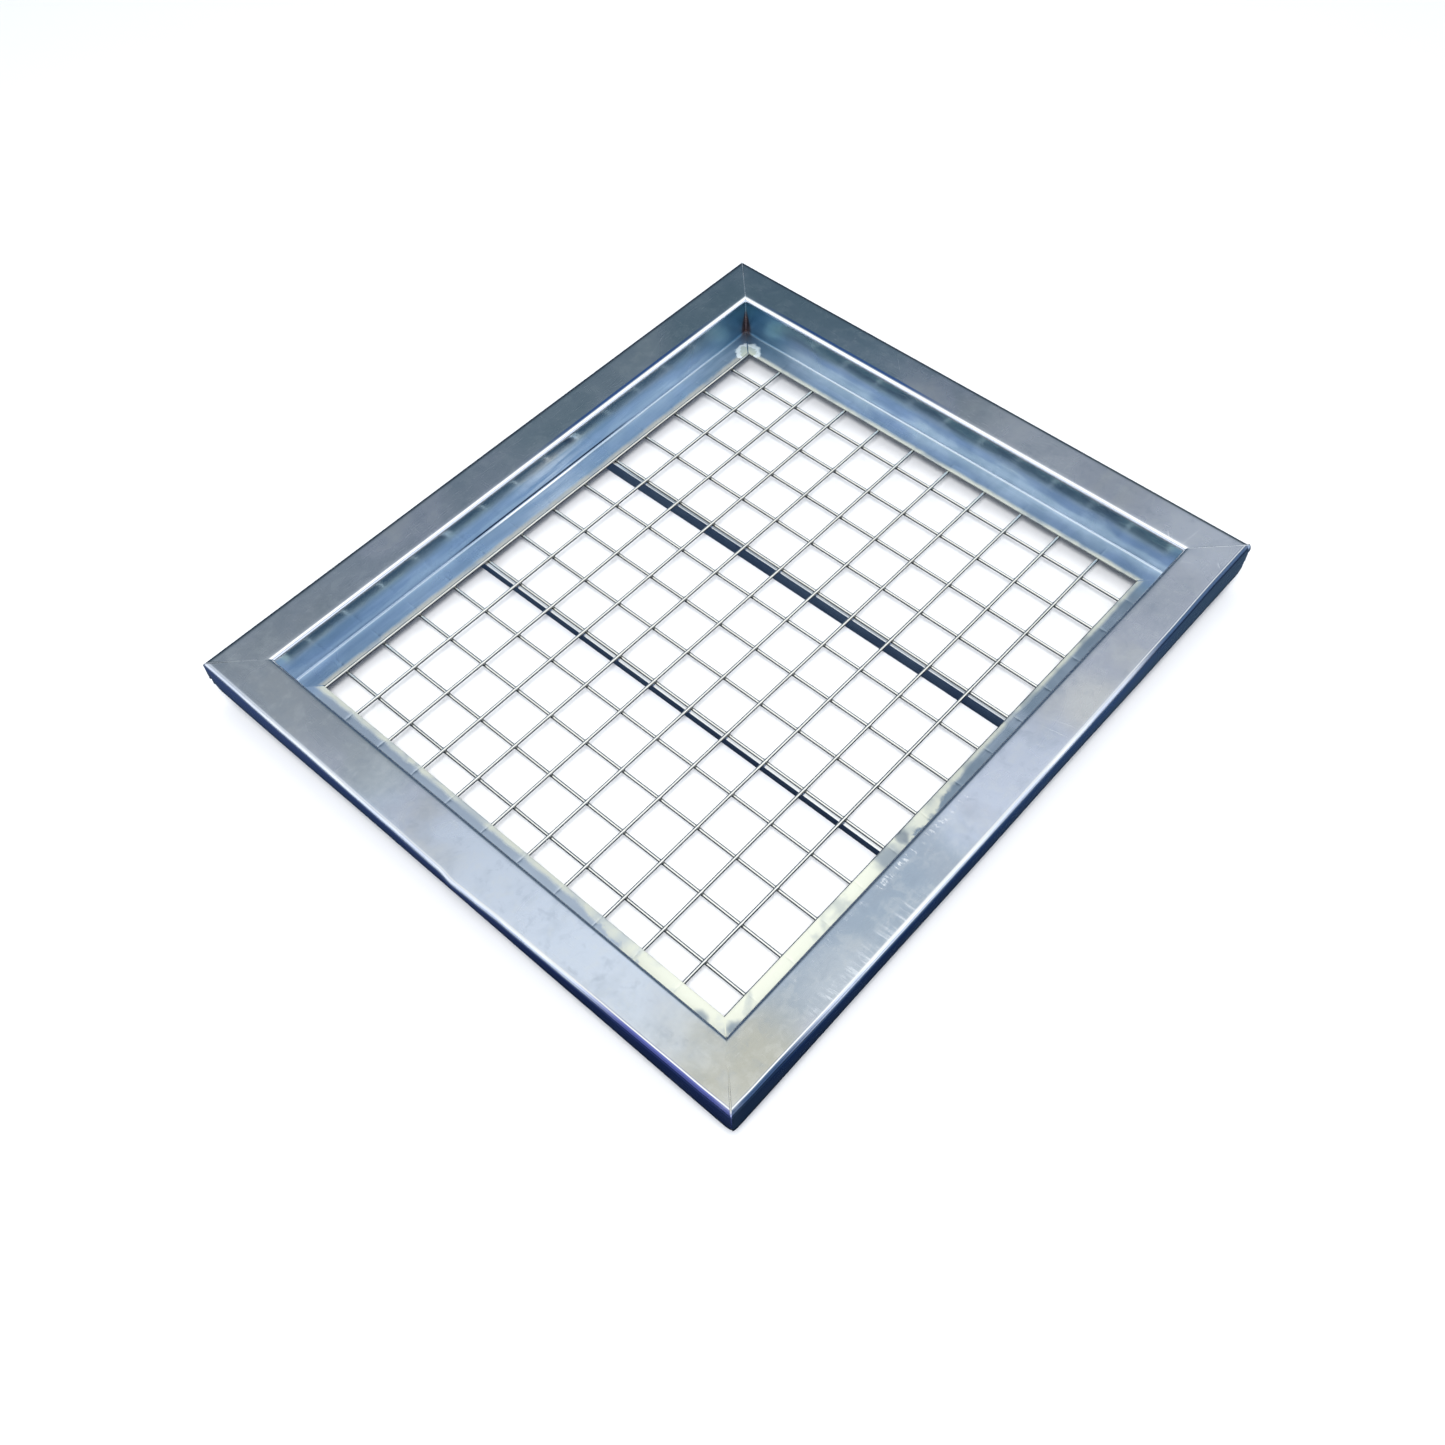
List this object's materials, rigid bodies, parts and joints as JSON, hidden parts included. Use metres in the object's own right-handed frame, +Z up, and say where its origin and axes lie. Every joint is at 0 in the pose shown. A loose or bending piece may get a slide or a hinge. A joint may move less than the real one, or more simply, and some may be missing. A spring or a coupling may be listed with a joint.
{
  "type": "recessed screen frame with a wire grid",
  "caption": "Rectangular folded sheet-metal frame: wide flat flange, turned-down lip, shallow tray with an inner ledge, and a square wire grid on cross bars.",
  "frame": {"origin": "centre of the base, on the surface that the cross bars stand on", "axes": "+X along the long side, +Y along the short side, +Z up out of the tray"},
  "size_m": [0.618, 0.535, 0.0535],
  "materials": {
    "zinc_sheet": "bright zinc-plated folded steel sheet, semi-gloss, blue-white and slightly cloudy",
    "weld_seam": "ground and plated weld metal, dull, with brown heat tint in the corners",
    "grid_wire": "drawn, welded and plated round wire, semi-gloss",
    "bar_steel": "plated flat steel strip, semi-gloss, slate blue"
  },
  "bodies": {
    "root": {"front_rail": "zinc_sheet", "right_rail": "zinc_sheet", "back_rail": "zinc_sheet", "left_rail": "zinc_sheet", "corner_weld_front_right": "weld_seam", "corner_weld_right_back": "weld_seam", "corner_weld_back_left": "weld_seam", "corner_weld_left_front": "weld_seam", "long_wire_01": "grid_wire", "long_wire_02": "grid_wire", "long_wire_03": "grid_wire", "long_wire_04": "grid_wire", "long_wire_05": "grid_wire", "long_wire_06": "grid_wire", "long_wire_07": "grid_wire", "long_wire_08": "grid_wire", "long_wire_09": "grid_wire", "long_wire_10": "grid_wire", "long_wire_11": "grid_wire", "long_wire_12": "grid_wire", "cross_wire_01": "grid_wire", "cross_wire_02": "grid_wire", "cross_wire_03": "grid_wire", "cross_wire_04": "grid_wire", "cross_wire_05": "grid_wire", "cross_wire_06": "grid_wire", "cross_wire_07": "grid_wire", "cross_wire_08": "grid_wire", "cross_wire_09": "grid_wire", "cross_wire_10": "grid_wire", "cross_wire_11": "grid_wire", "cross_wire_12": "grid_wire", "cross_wire_13": "grid_wire", "cross_wire_14": "grid_wire", "cross_wire_15": "grid_wire", "left_bar": "bar_steel", "right_bar": "bar_steel", "bar_end_welds": "weld_seam"}
  },
  "joints": []
}
